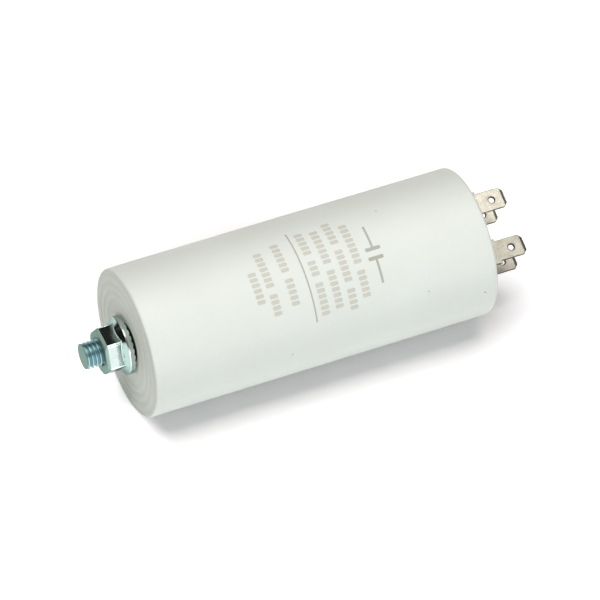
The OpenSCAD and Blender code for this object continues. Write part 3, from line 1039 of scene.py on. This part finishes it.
class CAPACITOR_OT_inside(Operator):
    """Gives the lid and the hidden pieces their finishes"""

    bl_idname = "capacitor.inside"
    bl_label = "Lid and inside"

    def execute(self, context):
        c = context.scene.capacitor_colours
        # After the colour: shade of its patches, fineness, roughness, metal and depth of the grain
        spray = grained("sprayed_contact", c.spray, 0.75, 2400.0, 0.6, 0.8, 0.08e-3)
        copper = grained("bare_copper", c.copper, 0.8, 1600.0, 0.32, 1.0, 0.02e-3)
        finishes = {
            "lid": white_plastic("lid_white_plastic", c),
            "film_winding": wound_film("wound_metallised_film", c),
            "winding_core": grained("core_plastic", c.plastic, 0.92, 900.0, 0.5, 0.0, 0.02e-3),
            "contact_layer_base": spray,
            "contact_layer_top": spray,
            "lead_base": copper,
            "lead_top": copper,
            "potting_resin": grained("cast_resin", c.resin, 0.8, 500.0, 0.3, 0.0, 0.03e-3),
        }
        for name, material in finishes.items():
            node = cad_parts.get(name)
            if node is None:
                raise RuntimeError(f"the packed model has no {name}")
            node.data.materials.clear()
            node.data.materials.append(material)
        return {"FINISHED"}


class CAPACITOR_OT_stage(Operator):
    """Sets the floor, the soft light and the camera"""

    bl_idname = "capacitor.stage"
    bl_label = "Stage"

    def execute(self, context):
        s = context.scene.capacitor_stage
        context.scene.view_settings.view_transform = "Standard"
        self.lay_floor(context, s)
        self.light_room(context, s)
        middle = Vector(((case_low.x + case_high.x) / 2, 0, 0))
        down = Vector((0, 0, -1))
        over = Vector((-0.08, -0.085, 1.2))
        front = Vector((-0.1, -1.6, 0.3))
        behind = Vector((-0.55, 0.72, 1.2))
        # Name, power, tint, place and size of each lamp, and the way it points
        for lamp in (
            ("softbox", s.softbox, s.softbox_tint, over, (1.7, 0.62), down),
            ("front_fill", s.fill, s.fill_tint, front, (1.8, 0.6), middle - front),
            ("rim_light", s.rim, s.softbox_tint, behind, (0.8, 0.4), down),
        ):
            self.hang_lamp(context, *lamp)
        self.set_camera(context, s)
        return {"FINISHED"}

    def lay_floor(self, context, s):
        """Lays a wide floor under the case."""
        bm = bmesh.new()
        bmesh.ops.create_grid(bm, x_segments=8, y_segments=8, size=4)
        bmesh.ops.translate(bm, verts=bm.verts, vec=(0, 0, case_low.z))
        material = self.pale_floor(context.scene.capacitor_colours, s)
        floor = make_object("floor", bm, material)

    def pale_floor(self, c, s):
        """A matt floor that keeps the shadow in front, and glows whiter where it is seen or
        mirrored.
        """
        f = Finish("pale_floor")
        f.tree.nodes.remove(f.shader)
        rays = f.add("LightPath").outputs
        seen = rays["Is Camera Ray"]
        for name in ("Is Glossy Ray", "Is Transmission Ray"):
            seen = f.calculate("MAXIMUM", seen, rays[name])
        tint = f.blend(seen, c.floor, c.floor_seen)
        # Painted light: the floor glows whiter away from the object, and more so past the base,
        # which lightens the object's shadow near its ends
        middle = ((case_low.x + case_high.x) / 2, 0, case_low.z)
        reach = case_high.x - case_low.x
        near, far = 0.42 * reach, 0.7 * reach
        away = f.distance(f.place, middle)
        white = f.spread(away, s.floor_lift, s.far_lift, near, far, "SMOOTHSTEP")
        start, end = case_low.x + 6e-3, case_low.x - 2e-3
        past = f.spread(f.along, 0, s.end_lift, start, end, "SMOOTHSTEP")
        lift = f.calculate("MULTIPLY", seen, f.calculate("ADD", white, past))
        matt = f.add("BsdfDiffuse", {"Color": tint})
        glow = f.add("Emission", {"Strength": lift})
        both = f.add("AddShader", {0: matt.outputs[0], 1: glow.outputs[0]})
        f.feed(f.tree.nodes["Material Output"], "Surface", both.outputs[0])
        return f.material

    def light_room(self, context, s):
        """A dim room, so that plated metal shows dark between the lamps."""
        world = bpy.data.worlds.new("studio")
        context.scene.world = world
        world.use_nodes = True
        background = world.node_tree.nodes["Background"]
        background.inputs["Color"].default_value = (1, 1, 1, 1)
        background.inputs["Strength"].default_value = s.room

    def hang_lamp(self, context, name, power, tint, place, size, way):
        light = bpy.data.lights.new(name, "AREA")
        light.shape = "RECTANGLE"
        light.size, light.size_y = size
        light.energy = power
        light.color = tint
        self.set_up(context, bpy.data.objects.new(name, light), place, way)

    def set_camera(self, context, s):
        a, e = s.azimuth, s.elevation
        back = Vector((sin(a) * cos(e), -cos(a) * cos(e), sin(e)))
        right = Vector((cos(a), sin(a), 0))
        up = back.cross(right)
        middle = Vector((s.middle, 0, 0))
        aim = middle + right * s.aim_right - up * s.aim_down
        place = middle + back * s.distance
        data = bpy.data.cameras.new("camera")
        data.lens = s.lens
        data.sensor_width = 36
        data.clip_end = 20
        camera = bpy.data.objects.new("camera", data)
        self.set_up(context, camera, place, aim - place)
        context.scene.camera = camera

    def set_up(self, context, item, place, way):
        """Puts a lamp or camera at a place and points it a way."""
        item.location = place
        item.rotation_mode = "QUATERNION"
        item.rotation_quaternion = way.to_track_quat("-Z", "Y")
        context.scene.collection.objects.link(item)


class CAPACITOR_PT_panel(Panel):
    """Lists the pieces of the capacitor and their sizes and colours"""

    bl_idname = "CAPACITOR_PT_panel"
    bl_label = "Film Capacitor"
    bl_space_type = "VIEW_3D"
    bl_region_type = "UI"
    bl_category = "Capacitor"

    def draw(self, context):
        for operator in OPERATORS:
            self.layout.operator(operator.bl_idname)
        for name in SETTINGS:
            box = self.layout.box()
            group = getattr(context.scene, name)
            for key in group.bl_rna.properties.keys():
                if key not in ("rna_type", "name"):
                    box.prop(group, key)


OPERATORS = (
    CAPACITOR_OT_case,
    CAPACITOR_OT_print,
    CAPACITOR_OT_stud,
    CAPACITOR_OT_nut,
    CAPACITOR_OT_terminals,
    CAPACITOR_OT_rivets,
    CAPACITOR_OT_inside,
    CAPACITOR_OT_stage,
)
SETTINGS = {
    "capacitor_case": CapacitorCaseSizes,
    "capacitor_stud": CapacitorStudSizes,
    "capacitor_nut": CapacitorNutSizes,
    "capacitor_terminals": CapacitorTerminalSizes,
    "capacitor_print": CapacitorPrintSizes,
    "capacitor_colours": CapacitorColours,
    "capacitor_stage": CapacitorStage,
}


register_classes, unregister_classes = bpy.utils.register_classes_factory(
    (*SETTINGS.values(), *OPERATORS, CAPACITOR_PT_panel)
)


def register():
    register_classes()
    for name, group in SETTINGS.items():
        setattr(bpy.types.Scene, name, PointerProperty(type=group))


def unregister():
    for name in SETTINGS:
        delattr(bpy.types.Scene, name)
    unregister_classes()


def main():
    register()
    bpy.ops.capacitor.case()
    bpy.ops.capacitor.print()
    bpy.ops.capacitor.stud()
    bpy.ops.capacitor.nut()
    bpy.ops.capacitor.terminals()
    bpy.ops.capacitor.rivets()
    bpy.ops.capacitor.inside()
    bpy.ops.capacitor.stage()


if __name__ == "__main__":
    main()
